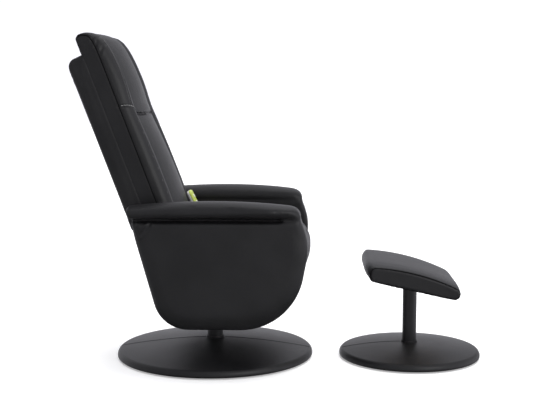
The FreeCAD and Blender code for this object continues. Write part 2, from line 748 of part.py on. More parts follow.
def make_backrest():
    save("back_shell", leaned(back_shell()))
    save("back_board", leaned(back_board()))
    save("back_tube", leaned(back_tube()))
    save("left_hinge_plate", leaned(hinge_plate()))
    save("right_hinge_plate", leaned(other_side(hinge_plate())))
    save("back_cushion", leaned(back_cushion()))
    save("head_cushion", leaned(head_cushion()))
    board_rear = SHELL_RIM - BACK_BOARD_T
    for level, z in zip(("lower", "upper"), BACK_MOTOR_HEIGHTS):
        place = V(board_rear - MOTOR_HEIGHT, BACK_MOTOR_Y, z)
        motor = Part.makeCylinder(MOTOR_RADIUS, MOTOR_HEIGHT, place, V(1, 0, 0))
        save("left_" + level + "_back_motor", leaned(motor))
        save("right_" + level + "_back_motor", leaned(other_side(motor)))


# Recline lever: a shaft through the left side panel with a handle outside


def recline_lever():
    y = INSIDE_HALF_WIDTH + SIDE_PANEL_T + SOFT_GAP
    hub = V(LEVER_X, y, LEVER_Z)
    tip_x = LEVER_X + LEVER_LENGTH
    tip_z = LEVER_Z + LEVER_RISE
    half = LEVER_TIP_RADIUS
    corners = [
        V(LEVER_X, y, LEVER_Z - LEVER_HUB_RADIUS),
        V(tip_x, y, tip_z - half),
        V(tip_x, y, tip_z + half),
        V(LEVER_X, y, LEVER_Z + LEVER_HUB_RADIUS),
        V(LEVER_X, y, LEVER_Z - LEVER_HUB_RADIUS),
    ]
    blade = Part.Face(Part.makePolygon(corners)).extrude(V(0, LEVER_T, 0))
    blade = blade.fuse(Part.makeCylinder(LEVER_HUB_RADIUS, LEVER_T, hub, AXIS_Y))
    blade = blade.fuse(crosswise(half, y, y + LEVER_T, tip_x, tip_z))
    return blade.cut(crosswise(LEVER_SHAFT_RADIUS, y, y + LEVER_T / 2, LEVER_X, LEVER_Z)).removeSplitter()


def lever_shaft():
    panel_y = INSIDE_HALF_WIDTH
    outer_y = panel_y + SIDE_PANEL_T + SOFT_GAP + LEVER_T / 2
    cam_y = panel_y - SOFT_GAP
    shaft = crosswise(LEVER_SHAFT_RADIUS, cam_y, outer_y, LEVER_X, LEVER_Z)
    cam = crosswise(LEVER_CAM_RADIUS, cam_y - LEVER_CAM_T, cam_y, LEVER_X, LEVER_Z)
    return shaft.fuse(cam).removeSplitter()


def make_lever():
    save("recline_lever", recline_lever())
    save("lever_shaft", lever_shaft())


# Hand control: two shells on a circuit board, with four press buttons


def stood(shape):
    placed = shape.copy()
    placed.rotate(V(0, 0, 0), AXIS_Y, -CONTROL_LEAN)
    placed.translate(V(PIVOT_X + CONTROL_AHEAD, CONTROL_SIDE, SEAT_CROWN_Z - CONTROL_SINK))
    return placed


def control_block(x0, x1, inset):
    half = CONTROL_WIDTH / 2 - inset
    block = box(x0, x1, -half, half, inset, CONTROL_LENGTH - inset)
    corners = [edge for edge in block.Edges if edge.BoundBox.XLength > x1 - x0 - EDGE_TOLERANCE]
    return block.makeFillet(CONTROL_CORNER - inset, corners)


def face_rounded(block, x):
    rim = []
    for edge in block.Edges:
        bounds = edge.BoundBox
        if abs(bounds.XMin - x) + abs(bounds.XMax - x) < EDGE_TOLERANCE:
            rim.append(edge)
    return block.makeFillet(CONTROL_ROUND, rim)


def button_places():
    start = CONTROL_LENGTH / 2 - BUTTON_PITCH * (len(BUTTON_NAMES) - 1) / 2
    return [(name, start + i * BUTTON_PITCH) for i, name in enumerate(BUTTON_NAMES)]


def forward(radius, x0, x1, z):
    return Part.makeCylinder(radius, x1 - x0, V(x0, 0, z), V(1, 0, 0))


def make_hand_control():
    rear = face_rounded(control_block(-CONTROL_REAR_T, 0, 0.0), -CONTROL_REAR_T)
    rear = rear.cut(control_block(-CONTROL_REAR_T + CONTROL_WALL, 0, CONTROL_WALL))
    front = face_rounded(control_block(0, CONTROL_FRONT_T, 0.0), CONTROL_FRONT_T)
    front = front.cut(control_block(0, CONTROL_FRONT_T - CONTROL_WALL, CONTROL_WALL))
    circuit = control_block(-CIRCUIT_T, 0, CONTROL_WALL)
    cap_x = CONTROL_FRONT_T - CONTROL_WALL
    for name, z in button_places():
        front = front.cut(forward(BUTTON_RADIUS + BUTTON_GAP, cap_x, CONTROL_FRONT_T, z))
        cap = forward(BUTTON_RADIUS, cap_x - CONTROL_WALL, CONTROL_FRONT_T + BUTTON_PROUD, z)
        stem = forward(BUTTON_STEM_RADIUS, BUTTON_TRAVEL + SOFT_GAP, cap_x, z)
        save("button_" + name, stood(cap.fuse(stem).removeSplitter()))
    save("control_rear_shell", stood(rear))
    save("control_front_shell", stood(front))
    save("control_circuit_board", stood(circuit))


# Footstool: its own base and column under a tilted pad


def tilted(shape):
    placed = shape.copy()
    placed.rotate(V(0, 0, 0), AXIS_Y, STOOL_TILT)
    placed.translate(V(STOOL_X, 0, STOOL_TOP_Z))
    return placed


def stool_section(y, crown, draw):
    heel_x = STOOL_HEEL_X + draw
    bulge = STOOL_HEEL_BULGE / (1 + draw / STOOL_EDGE_DRAW)
    heel = V(heel_x + STOOL_UNDER_TUCK, y, 0)
    heel_side = V(heel_x - bulge, y, STOOL_HEEL_WAIST_Z)
    heel_top = V(heel_x, y, crown - STOOL_HEEL_FALL)
    top = V((STOOL_HEEL_X + STOOL_TOE_X) / 2, y, crown)
    toe_top = V(STOOL_TOE_X, y, crown - STOOL_TOE_FALL)
    nose = V(STOOL_TOE_X + STOOL_NOSE_BULGE, y, STOOL_NOSE_Z)
    toe = V(STOOL_TOE_X - STOOL_UNDER_TUCK, y, 0)
    return Part.Wire([
        line(heel, toe),
        arc(toe, nose, toe_top),
        arc(toe_top, top, heel_top),
        arc(heel_top, heel_side, heel),
    ])


def stool_cushion():
    half = []
    for inward, left in edge_roll(STOOL_EDGE_ROLL):
        crown = STOOL_CROWN - STOOL_EDGE_FALL * left
        half.append((STOOL_HALF_WIDTH - inward, crown, STOOL_EDGE_DRAW * left))
    return lofted([stool_section(*row) for row in both_sides(half)])


def make_stool():
    shift = V(STOOL_X, 0, 0)
    pad, core, cover = base_pieces(STOOL_BASE_RADIUS, STOOL_COLUMN_RADIUS, STOOL_BASE_APEX_Z)
    tube = flanged_tube(STOOL_COLUMN_RADIUS, STOOL_BASE_APEX_Z, STOOL_TOP_Z + STOOL_COLUMN_RADIUS)
    ring = collar(STOOL_COLUMN_RADIUS, STOOL_BASE_APEX_Z)
    half = STOOL_PLATE_HALF
    above = tilted(box(-2 * half, 2 * half, -half, half, -STOOL_PLATE_T, 2 * half))
    names = ("floor_pad", "base_core", "base_cover", "column_collar")
    for name, piece in zip(names, (pad, core, cover, ring)):
        piece.translate(shift)
        save("stool_" + name, piece)
    tube.translate(shift)
    save("stool_column_tube", tube.cut(above))
    save("stool_top_plate", tilted(box(-half, half, -half, half, -STOOL_PLATE_T, 0)))
    length = STOOL_BOARD_LENGTH / 2
    width = STOOL_BOARD_WIDTH / 2
    board = box(-length, length, -width, width, 0, STOOL_BOARD_T)
    save("stool_pad_board", tilted(board))
    save("stool_cushion", tilted(stool_cushion().cut(board)))


make_base()
make_seat()
make_backrest()
make_lever()
make_hand_control()
make_stool()
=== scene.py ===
import json
import math

import bpy
import numpy as np
from mathutils import Matrix, Vector
from mathutils.geometry import convex_hull_2d
from mathutils.kdtree import KDTree


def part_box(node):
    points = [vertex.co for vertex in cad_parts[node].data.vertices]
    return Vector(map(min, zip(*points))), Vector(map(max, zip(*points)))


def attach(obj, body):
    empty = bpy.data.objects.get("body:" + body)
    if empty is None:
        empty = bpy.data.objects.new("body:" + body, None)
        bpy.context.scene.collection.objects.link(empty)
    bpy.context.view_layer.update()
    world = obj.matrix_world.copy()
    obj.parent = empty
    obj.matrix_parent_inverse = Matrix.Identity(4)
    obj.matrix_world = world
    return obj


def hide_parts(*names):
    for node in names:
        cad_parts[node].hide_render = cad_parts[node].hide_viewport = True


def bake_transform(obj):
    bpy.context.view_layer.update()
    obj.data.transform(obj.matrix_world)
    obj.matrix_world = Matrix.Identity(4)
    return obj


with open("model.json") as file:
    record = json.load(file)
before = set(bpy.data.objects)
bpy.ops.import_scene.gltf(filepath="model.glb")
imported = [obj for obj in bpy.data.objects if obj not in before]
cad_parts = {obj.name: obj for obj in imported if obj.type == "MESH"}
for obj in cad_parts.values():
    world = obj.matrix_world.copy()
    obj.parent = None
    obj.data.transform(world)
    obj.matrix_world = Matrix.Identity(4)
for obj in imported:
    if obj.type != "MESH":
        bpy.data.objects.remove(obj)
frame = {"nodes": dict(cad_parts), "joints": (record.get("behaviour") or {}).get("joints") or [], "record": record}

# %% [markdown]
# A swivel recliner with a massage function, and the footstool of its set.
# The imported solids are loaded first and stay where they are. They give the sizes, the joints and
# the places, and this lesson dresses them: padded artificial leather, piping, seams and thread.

scene = bpy.context.scene
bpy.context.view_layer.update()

# %% [markdown]
# The camera stands low and nearly square to the chair's right side, as for a shop picture.
# Its place was found by fitting the two round bases, so that every later piece can be compared
# with the photograph without moving anything by eye.

# %% Camera
CAMERA_PLACE = (0.3014, -3.3419, 0.8590)
CAMERA_DOWN = 0.1138
CAMERA_YAW = 0.03316
CAMERA_LENS = 70.0
CAMERA_SENSOR = 36.0
CAMERA_FAR = 60.0

bpy.ops.object.camera_add(location=CAMERA_PLACE, rotation=(math.pi / 2 - CAMERA_DOWN, 0, CAMERA_YAW))
camera = bpy.context.object
camera.name = "side_camera"
camera.data.lens = CAMERA_LENS
camera.data.sensor_width = CAMERA_SENSOR
camera.data.clip_end = CAMERA_FAR
scene.camera = camera
print("camera:", camera.name, "lens", camera.data.lens)


# %% [markdown]
# Every finish below is a small graph of nodes. Typing sums is easier than wiring boxes, so one
# class wraps a socket and lets Python's own signs add the Math nodes. Its method called node makes
# any other node: settings first, then the values or links of its sockets.

# %% A socket that can be added and multiplied
DARK_STOP = 0.3
LIGHT_STOP = 0.7


class Wire:
    def __init__(self, tree, socket=None):
        self.tree = tree
        self.socket = socket

    def node(self, kind, sockets, out=0, **settings):
        made = self.tree.nodes.new("ShaderNode" + kind)
        for key, value in settings.items():
            if key == "stops":
                for stop, (place, shade) in zip(made.color_ramp.elements, value):
                    stop.position = place
                    stop.color = shade
            else:
                setattr(made, key, value)
        for key, value in sockets.items():
            if isinstance(value, Wire):
                self.tree.links.new(value.socket, made.inputs[key])
            else:
                made.inputs[key].default_value = value
        return Wire(self.tree, made.outputs[out])

    def maths(self, operation, first, second):
        return self.node("Math", {0: first, 1: second}, operation=operation)

    def __add__(self, other):
        return self.maths("ADD", self, other)

    def __radd__(self, other):
        return self.maths("ADD", other, self)

    def __sub__(self, other):
        return self.maths("SUBTRACT", self, other)

    def __mul__(self, other):
        return self.maths("MULTIPLY", self, other)


def new_finish(name, **constants):
    finish = bpy.data.materials.new(name)
    finish.use_nodes = True
    tree = finish.node_tree
    shader = tree.nodes["Principled BSDF"]
    for key, value in constants.items():
        shader.inputs[key.replace("_", " ")].default_value = value
    place = Wire(tree).node("TexCoord", {}, out="Object")
    return finish, tree, shader, place


def feed(tree, wire, shader, socket):
    tree.links.new(wire.socket, shader.inputs[socket])


def noise(place, scale, detail=3.0, rough=0.5):
    return place.node("TexNoise", {"Vector": place, "Scale": scale, "Detail": detail, "Roughness": rough})


def tones(amount, dark, light):
    stops = ((DARK_STOP, (*dark, 1)), (LIGHT_STOP, (*light, 1)))
    return amount.node("ValToRGB", {"Fac": amount}, stops=stops)


def bumped(height, strength, distance, below=None):
    sockets = {"Height": height, "Strength": strength, "Distance": distance}
    if below:
        sockets["Normal"] = below
    return height.node("Bump", sockets)


# %% [markdown]
# Artificial leather is a plastic skin on a knit. It shows fine pebbles about a millimetre across,
# a few longer creases, and a satin gloss that changes a little from place to place.
# A Voronoi cell makes one pebble. Noise at two sizes gives the creases and the change of gloss.

# %% Artificial leather
PEBBLE_SCALE = 900.0
PEBBLE_EDGE = 0.28
PEBBLE_TINT = 0.3
PEBBLE_GLOSS = 0.07
PEBBLE_STRENGTH = 0.22
PEBBLE_RELIEF = 0.00025
WANDER_SCALE = 7.0
WANDER_GLOSS = 0.16
WANDER_COAT = 0.12
CREASE_SCALE = 26.0
CREASE_ROUGH = 0.62
CREASE_RELIEF = 0.0022
LEATHER_DARK = (0.0065, 0.0065, 0.0072)


def leather(name, dark, light, gloss, crease=0.35, shine=0.42):
    finish, tree, shader, place = new_finish(name, Coat_Roughness=0.35, Specular_IOR_Level=shine)
    wander = noise(place, WANDER_SCALE, detail=4.0)
    cells = place.node("TexVoronoi", {"Vector": place, "Scale": PEBBLE_SCALE}, feature="DISTANCE_TO_EDGE")
    pebbles = cells.node("MapRange", {"Value": cells, "From Max": PEBBLE_EDGE})
    creases = noise(place, CREASE_SCALE, detail=5.0, rough=CREASE_ROUGH)
    tint = wander * (1 - PEBBLE_TINT) + pebbles * PEBBLE_TINT
    feed(tree, tones(tint, dark, light), shader, "Base Color")
    feed(tree, gloss + wander * WANDER_GLOSS - pebbles * PEBBLE_GLOSS, shader, "Roughness")
    feed(tree, wander * WANDER_COAT, shader, "Coat Weight")
    broad = bumped(creases, crease, CREASE_RELIEF)
    feed(tree, bumped(pebbles, PEBBLE_STRENGTH, PEBBLE_RELIEF, broad), shader, "Normal")
    return finish


seat_leather = leather("seat_leather", LEATHER_DARK, (0.0115, 0.0115, 0.0125), gloss=0.42)
disc_leather = leather("disc_leather", LEATHER_DARK, (0.0120, 0.0120, 0.0130), gloss=0.40, crease=0.15)
# The piping and the disc seams are real, but their leather is made near black and almost matt as painted shade of
# the dark seam lines.
piping_and_seam_shade_leather = leather("piping_and_seam_shade_leather", (0.0018, 0.0018, 0.0020), (0.0036, 0.0036, 0.0040), gloss=0.62,
                         crease=0.1, shine=0.12)
print("leathers:", seat_leather.name, disc_leather.name, piping_and_seam_shade_leather.name)


# %% [markdown]
# The hard parts are simpler: powder coat has a fine orange peel, turned steel and moulded plastic
# have a faint grain, board and lining have fibres. Each gets noise at its own size, which drives
# a little colour, gloss and relief.

# %% Finishes of the hard parts
GRAINS_PER_CLOUD = 40
CLOUD_GLOSS = 0.16
GLOSS_DROP = 0.06
GRAIN_STRENGTH = 0.25
FIBRE_SCALE = 60.0
FIBRE_DARK = 0.6
FIBRE_GLOSS = 0.12
FIBRE_STRENGTH = 0.3


def moulded(name, colour, gloss, grain, relief, change=0.25, **constants):
    finish, tree, shader, place = new_finish(name, **constants)
    fine = noise(place, grain)
    cloud = noise(place, grain / GRAINS_PER_CLOUD, detail=4.0)
    dark = tuple(c * (1 - change) for c in colour)
    light = tuple(min(1.0, c * (1 + change)) for c in colour)
    feed(tree, tones(fine * 0.5 + cloud * 0.5, dark, light), shader, "Base Color")
    feed(tree, gloss - GLOSS_DROP + cloud * CLOUD_GLOSS, shader, "Roughness")
    feed(tree, bumped(fine, GRAIN_STRENGTH, relief), shader, "Normal")
    return finish


def fibred(name, colour, gloss, stretch, relief):
    finish, tree, shader, place = new_finish(name)
    stretched = place.node("Mapping", {"Vector": place, "Scale": stretch})
    fibres = noise(stretched, FIBRE_SCALE, detail=6.0, rough=0.7)
    dark = tuple(c * FIBRE_DARK for c in colour)
    feed(tree, tones(fibres, dark, colour), shader, "Base Color")
    feed(tree, gloss + fibres * FIBRE_GLOSS, shader, "Roughness")
    feed(tree, bumped(fibres, FIBRE_STRENGTH, relief), shader, "Normal")
    return finish


slot_finish = {
    "black_leather": seat_leather,
    "base_leather": disc_leather,
    "black_steel": moulded("powder_coat", (0.010, 0.010, 0.011), gloss=0.34, grain=1400.0, relief=0.0001,
                           Specular_IOR_Level=0.5),
    "bare_steel": moulded("turned_steel", (0.52, 0.52, 0.53), gloss=0.28, grain=900.0, relief=0.00005,
                          change=0.1, Metallic=1.0),
    "board": fibred("raw_board", (0.55, 0.42, 0.28), gloss=0.68, stretch=(1.0, 8.0, 8.0), relief=0.0003),
    "lining": fibred("non_woven_lining", (0.020, 0.020, 0.021), gloss=0.85, stretch=(6.0, 6.0, 6.0),
                     relief=0.0002),
    "floor_pad": moulded("floor_pad_rubber", (0.022, 0.022, 0.022), gloss=0.75, grain=700.0, relief=0.0002),
    "black_plastic": moulded("black_moulding", (0.016, 0.016, 0.017), gloss=0.48, grain=1500.0,
                             relief=0.0001),
    "white_plastic": moulded("white_moulding", (0.80, 0.80, 0.77), gloss=0.38, grain=1500.0,
                             relief=0.00006, change=0.04),
    "green_plastic": moulded("lime_moulding", (0.50, 0.60, 0.10), gloss=0.36, grain=1500.0,
                             relief=0.00006, change=0.08),
    "key_plastic": moulded("soft_key", (0.78, 0.78, 0.74), gloss=0.55, grain=1200.0, relief=0.00008,
                           change=0.05),
    "circuit_board": moulded("circuit_lacquer", (0.03, 0.17, 0.07), gloss=0.30, grain=600.0, relief=0.00008),
}
for part in frame["record"]["subparts"]:
    solid = frame["nodes"][part["node"]]
    solid.data.materials.clear()
    solid.data.materials.append(slot_finish[part["material_slot"]])

# %% [markdown]
# A pale floor that glows a little, so that shadows on it stay faint, and a white room, brighter
# behind the chair and in front of it than on the camera's side. Black leather shows its form by
# what it mirrors: the bright far wall draws the tops of the arms, the discs and the footstool, the
# bright front draws the back's bolsters, and the dim near side keeps the side panel dark. The room
# is dark well under the horizon and the floor isn't mirrored, so that lower edges fall into shade.

# %% Floor, room and lamps
FLOOR_SIZE = 40.0
FLOOR_DROP = 0.0005
FLOOR_GLOW = 0.35
FLOOR_CLOUDS = 3.0
ROOM_NEAR = 0.40
ROOM_FAR = 0.76
ROOM_FRONT = 0.45

bpy.ops.mesh.primitive_plane_add(size=FLOOR_SIZE, location=(0, 0, -FLOOR_DROP))
floor = bpy.context.object
floor.name = "pale_floor"
floor_finish, tree, shader, place = new_finish("pale_floor_paint", Roughness=0.9, Specular_IOR_Level=0.05,
                                               Emission_Color=(1, 1, 1, 1), Emission_Strength=FLOOR_GLOW)
floor_tone = tones(noise(place, FLOOR_CLOUDS), (0.84, 0.84, 0.84), (0.88, 0.88, 0.88))
feed(tree, floor_tone, shader, "Base Color")
floor.data.materials.append(floor_finish)
floor.visible_glossy = False

room = bpy.data.worlds.new("white_room")
room.use_nodes = True
scene.world = room
sky = Wire(room.node_tree)
direction = sky.node("TexCoord", {}, out="Generated")
forward = sky.node("SeparateXYZ", {0: direction}, out="X")
across = sky.node("SeparateXYZ", {0: direction}, out="Y")
height = sky.node("SeparateXYZ", {0: direction}, out="Z")


def faded(value, start, end, before, after):
    sockets = {"Value": value, "From Min": start, "From Max": end, "To Min": before, "To Max": after}
    return sky.node("MapRange", sockets, interpolation_type="SMOOTHSTEP")


wall = faded(across, start=-0.5, end=0.8, before=0.0, after=1.0)
wall = wall * faded(forward, start=0.15, end=0.52, before=1.0, after=0.22)
wall = wall * faded(height, start=0.05, end=0.20, before=1.0, after=0.42)
wall = wall * faded(forward, start=-0.80, end=-0.25, before=0.35, after=1.0)
front = faded(forward, start=0.60, end=0.92, before=0.0, after=ROOM_FRONT)
above_ground = faded(height, start=-0.65, end=-0.20, before=0.10, after=1.0)
strength = (ROOM_NEAR + wall * ROOM_FAR + front) * above_ground
room_light = room.node_tree.nodes["Background"]
feed(room.node_tree, strength, room_light, "Strength")
room_light.inputs["Color"].default_value = (0.94, 0.935, 1.0, 1)


def soft_lamp(name, place, aim, size, power):
    bpy.ops.object.light_add(type="AREA", location=place)
    lamp = bpy.context.object
    lamp.name = name
    lamp.rotation_euler = (Vector(aim) - Vector(place)).to_track_quat("-Z", "Y").to_euler()
    lamp.data.size = size
    lamp.data.energy = power


soft_lamp("ceiling_lamp", place=(0.9, 0.5, 3.2), aim=(0.2, 0, 0.3), size=2.2, power=12)
soft_lamp("front_lamp", place=(1.9, -2.3, 1.35), aim=(-0.1, -0.2, 0.6), size=1.3, power=20)
soft_lamp("rear_lamp", place=(-2.2, 1.6, 1.1), aim=(0.3, 0, 0.3), size=1.4, power=2)
bpy.ops.object.light_add(type="SUN", location=(0, 0, 5), rotation=(-0.15, 0.1, 0))
floor_lamp = bpy.context.object
floor_lamp.name = "floor_lamp"
floor_lamp.data.energy = 2.6
floor_lamp.data.angle = math.radians(60)
floor_lamp.visible_glossy = False
scene.view_settings.view_transform = "Standard"


# %% [markdown]
# A few short helpers save typing later. An operator acts on all that is selected, so one of them
# deselects everything first. Points are read and written as one array, which is quick, and a ramp
# grows from 0 to 1 between two values. A copy of a solid has its loose triangles merged before
# anything else is done to it.

# %% Selecting, adding, copying, measuring
MERGE_DISTANCE = 0.00005


def only(*pieces):
    if bpy.context.mode != "OBJECT":
        bpy.ops.object.mode_set(mode="OBJECT")
    bpy.ops.object.select_all(action="DESELECT")
    for piece in pieces:
        piece.select_set(True)
    bpy.context.view_layer.objects.active = pieces[0]
    return pieces[0]


def points_of(piece, kind="co"):
    flat = np.empty(len(piece.data.vertices) * 3, np.float32)
    piece.data.vertices.foreach_get(kind, flat)
    return flat.reshape(-1, 3).astype(float)


def set_points(piece, points):
    piece.data.vertices.foreach_set("co", points.astype(np.float32).ravel())
    piece.data.update()


def ramp(value, start, end):
    return np.clip((value - start) / (end - start), 0, 1)


def edited(piece, operator, **settings):
    only(piece)
    bpy.ops.object.mode_set(mode="EDIT")
    bpy.ops.mesh.select_all(action="SELECT")
    operator(**settings)
    bpy.ops.object.mode_set(mode="OBJECT")


def added(operator, name, scale=(1, 1, 1), **settings):
    bpy.ops.object.select_all(action="DESELECT")
    operator(**settings)
    piece = bpy.context.object
    piece.name = name
    piece.scale = scale
    bpy.ops.object.transform_apply(location=True, rotation=True, scale=True)
    return piece


def copied(node, name):
    piece = bpy.data.objects.new(name, frame["nodes"][node].data.copy())
    scene.collection.objects.link(piece)
    edited(piece, bpy.ops.mesh.remove_doubles, threshold=MERGE_DISTANCE)
    return piece


def joined(*pieces):
    first = only(*pieces)
    bpy.ops.object.join()
    return first


def finished_with(piece, kind, **settings):
    only(piece)
    modifier = piece.modifiers.new(kind.lower(), kind)
    for key, value in settings.items():
        setattr(modifier, key, value)
    bpy.ops.object.modifier_apply(modifier=modifier.name)


def remeshed(piece, voxel):
    finished_with(piece, "REMESH", mode="VOXEL", voxel_size=voxel)


def smoothed(piece):
    only(piece)
    bpy.ops.object.shade_smooth()


def subdivided(piece):
    finished_with(piece, "SUBSURF", levels=1, render_levels=1)
    smoothed(piece)


# %% [markdown]
# Padding is made as an upholsterer makes it: the shape is cut a little small, sewn shut and
# stuffed. The copy of a solid is remeshed to even small squares, pulled in, and blown up as cloth
# with the glued and sewn places held. How far a point may travel is capped, so that the pad stays
# in the room that the solid gives it.

# %% Blowing up a pad
SWELL_FRAMES = 20
STUFFED_LEATHER = {
    "quality": 4,
    "mass": 0.3,
    "tension_stiffness": 22,
    "compression_stiffness": 22,
    "shear_stiffness": 8,
    "bending_stiffness": 1.2,
    "use_pressure": True,
}
TINY = 1e-9


def blown_up(piece, held, pressure, cap):
    rest = points_of(piece)
    group = piece.vertex_groups.new(name="held")
    group.add([int(i) for i in np.flatnonzero(held(rest))], 1.0, "REPLACE")
    only(piece)
    cloth = piece.modifiers.new("stuffing", "CLOTH")
    for key, value in STUFFED_LEATHER.items():
        setattr(cloth.settings, key, value)
    cloth.settings.uniform_pressure_force = pressure
    cloth.settings.effector_weights.gravity = 0
    cloth.settings.vertex_group_mass = "held"
    cloth.collision_settings.use_collision = False
    cloth.point_cache.frame_start = 1
    cloth.point_cache.frame_end = SWELL_FRAMES
    for step in range(1, SWELL_FRAMES + 1):
        scene.frame_set(step)
    shaped = piece.evaluated_get(bpy.context.evaluated_depsgraph_get())
    moved = points_of(shaped) - rest
    piece.modifiers.remove(cloth)
    scene.frame_set(1)
    travel = np.linalg.norm(moved, axis=1)
    set_points(piece, rest + moved * np.minimum(1.0, cap / np.maximum(travel, TINY))[:, None])
    piece.vertex_groups.clear()
    print(piece.name, "points", len(rest), "swelled up to mm", round(float(travel.max()) * 1000, 1))


def padding(piece, held, voxel=0.005, inset=0.003, pressure=4.0, cap=0.008, smooth=6):
    remeshed(piece, voxel)
    finished_with(piece, "SMOOTH", factor=0.5, iterations=smooth)
    set_points(piece, points_of(piece) - inset * points_of(piece, "normal"))
    blown_up(piece, held, pressure, cap)
    subdivided(piece)
    print(piece.name, "triangles", sum(len(p.vertices) - 2 for p in piece.data.polygons))
    return piece


def dressed(piece, finish, slot, body, *nodes, fill=None):
    piece.data.materials.clear()
    piece.data.materials.append(finish)
    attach(piece, body)
    if nodes:
        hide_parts(*nodes)
    return piece


# %% [markdown]
# Seams are what make a pad read as sewn. A seam is a line on the skin where two panels meet: the
# skin dips along it, and swells a little on both sides. The line is found by dropping points onto
# the finished pad from outside, so one description serves any shape under it. The same points
# carry piping and thread.

# %% Lines on a skin
PATH_STEP = 0.004
LIP_PLACE = 2.2
LIP_SPREAD = 0.8


def along(corners, step=PATH_STEP):
    points = []
    for a, b in zip(corners, corners[1:]):
        a, b = Vector(a), Vector(b)
        count = max(1, round((b - a).length / step))
        points += [a.lerp(b, i / count) for i in range(count)]
    return points + [Vector(corners[-1])]


def dropped_on(piece, points, toward):
    found = []
    for point in points:
        hit, place, normal, face = piece.ray_cast(point, Vector(toward))
        if hit:
            found.append(place)
    return found


def nearest_on(piece, points):
    return [piece.closest_point_on_mesh(p)[1] for p in points]


def sewn(piece, paths, width, depth, lip=0.25):
    places = [p for path in paths for p in path]
    tree = KDTree(len(places))
    for i, p in enumerate(places):
        tree.insert(p, i)
    tree.balance()
    points = points_of(piece)
    away = np.array([tree.find(p)[2] for p in points]) / width
    dip = np.exp(-away ** 2) - lip * np.exp(-((away - LIP_PLACE) / LIP_SPREAD) ** 2)
    set_points(piece, points - (depth * dip)[:, None] * points_of(piece, "normal"))


def line_through(name, points, closed=False):
    curve = bpy.data.curves.new(name, "CURVE")
    curve.dimensions = "3D"
    spline = curve.splines.new("POLY")
    spline.points.add(len(points) - 1)
    for spot, p in zip(spline.points, points):
        spot.co = (*p, 1)
    spline.use_cyclic_u = closed
    line = bpy.data.objects.new(name, curve)
    scene.collection.objects.link(line)
    return line


def tube(name, points, radius, finish, slot, body, closed=False):
    line = line_through(name, points, closed)
    line.data.bevel_depth = radius
    line.data.bevel_resolution = 3
    line.data.use_fill_caps = not closed
    only(line)
    bpy.ops.object.convert(target="MESH")
    piece = bpy.context.object
    smoothed(piece)
    return dressed(piece, finish, slot, body)


# %% [markdown]
# Two shapes start as a box with rounded edges: the bar that cuts the groove under an arm, and the
# rear cover of the back. The box is given by its spans along x, y and z, and may be turned.

# %% Boxes with rounded edges
def block(name, spans, bevel, segments, turn=Matrix.Identity(4)):
    size = [b - a for a, b in spans]
    middle = [(a + b) / 2 for a, b in spans]
    piece = added(bpy.ops.mesh.primitive_cube_add, name, size=1, location=middle, scale=size)
    edited(piece, bpy.ops.mesh.bevel, offset=bevel, segments=segments, profile=0.5)
    piece.data.transform(turn)
    return piece


# %% [markdown]
# Each side of the chair is one upholstered piece: the arm's leather runs over its front and down
# the edge of the panel, and a deep groove under the arm runs out to a point near the front.
# The two solids are joined into one skin, and a tapering bar cuts the groove before the stuffing.
# Then the panel's edges are rolled, and the arm's underside and rear end are drawn in.

# %% Sides with their arms
SIDES = (("left", 1), ("right", -1))
PANEL_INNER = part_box("left_side_panel")[0].y
PANEL_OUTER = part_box("left_side_panel")[1].y
PANEL_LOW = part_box("left_side_panel")[0].z
PANEL_DROP = 0.008
PANEL_STRETCH = 0.020
PANEL_STILL = 0.10
EDGE_ROLL = 0.045
EDGE_FALL = 0.015
EDGE_FADE = 0.05
EDGE_BELOW_GROOVE = 0.01
SHORTEST_EDGE = 1e-6
FAR_FROM_EDGE = 1.0
GROOVE_LOW = 0.4600
GROOVE_HIGH = 0.4736
GROOVE_MIDDLE = (GROOVE_LOW + GROOVE_HIGH) / 2
GROOVE_DEPTH = 0.016
GROOVE_REAR = -0.30
GROOVE_END = 0.258
GROOVE_TAPER = 0.050
GROOVE_POINT = 0.8
GROOVE_ROUND = 0.004
BAR_OUTSIDE = 0.06
ARM_WIDEST = 0.496
ARM_TUCK = 0.016
ARM_TUCK_FROM = 0.26
ARM_TUCK_FULL = 0.31
ARM_TUCK_FADE = 0.235
ARM_TUCK_END = 0.270
ARM_TUCK_EASE = 1.6
ARM_REAR = -0.22
ARM_REAR_TUCK = 0.3
ARM_REAR_CUT = 0.013
ARM_REAR_HIGH = 0.515
ARM_CUT_FROM = -0.18
ARM_CUT_FULL = -0.23
SIDE_GRIP = 0.001


def side_held(points):
    return points[:, 2] < GROOVE_HIGH + SIDE_GRIP


def edge_distance(points):
    solid = frame["nodes"]["left_side_panel"].data
    flat = [(v.co.x, v.co.z) for v in solid.vertices]
    ring = [flat[i] for i in convex_hull_2d(flat)]
    nearest = np.full(len(points), FAR_FROM_EDGE)
    for (x0, z0), (x1, z1) in zip(ring, ring[1:] + ring[:1]):
        length = math.hypot(x1 - x0, z1 - z0)
        if min(z0, z1) < GROOVE_LOW - EDGE_BELOW_GROOVE and length > SHORTEST_EDGE:
            area = (points[:, 0] - x0) * (z1 - z0) - (points[:, 2] - z0) * (x1 - x0)
            nearest = np.minimum(nearest, np.abs(area) / length)
    return nearest


def rolled_edges(points, sign):
    points[:, 2] -= PANEL_DROP * ramp(points[:, 2], GROOVE_LOW, PANEL_LOW)
    out = ramp(points[:, 1] * sign, PANEL_INNER, PANEL_OUTER)
    below = ramp(points[:, 2], GROOVE_LOW, GROOVE_LOW - EDGE_FADE)
    near = ramp(edge_distance(points), EDGE_ROLL, 0) ** 2
    points[:, 1] -= sign * EDGE_FALL * near * out * below
    points[:, 0] += PANEL_STRETCH * (points[:, 0] - PANEL_STILL) * below
    return points


